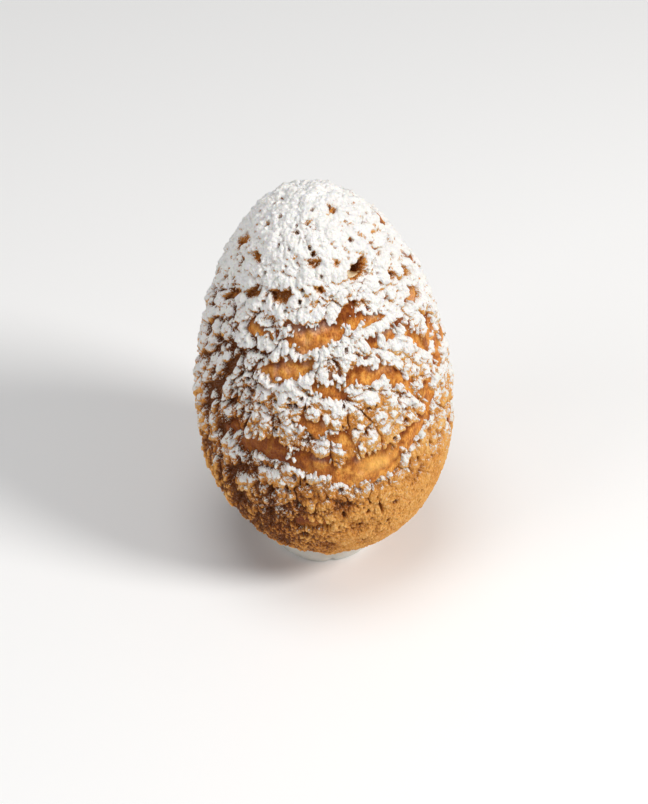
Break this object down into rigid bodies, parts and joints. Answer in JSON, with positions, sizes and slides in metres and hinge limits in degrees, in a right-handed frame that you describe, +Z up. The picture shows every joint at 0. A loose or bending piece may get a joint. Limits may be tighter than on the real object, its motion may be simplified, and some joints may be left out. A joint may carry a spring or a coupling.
{
  "type": "cream puff",
  "caption": "Tall egg-shaped choux bun with a cracked craquelin crust under icing sugar, standing upright on a round dab of white cream.",
  "frame": {"origin": "middle of the cream's flat underside, on the surface the puff stands on", "axes": "+Z up along the bun's height, -Y towards the front, +X to the right seen from the front"},
  "size_m": [0.0648, 0.0645, 0.1086],
  "materials": {
    "craquelin": "matte, crumbly",
    "cream": "satin, moist"
  },
  "bodies": {
    "root": {"bun": "craquelin", "cream": "cream"}
  },
  "joints": []
}
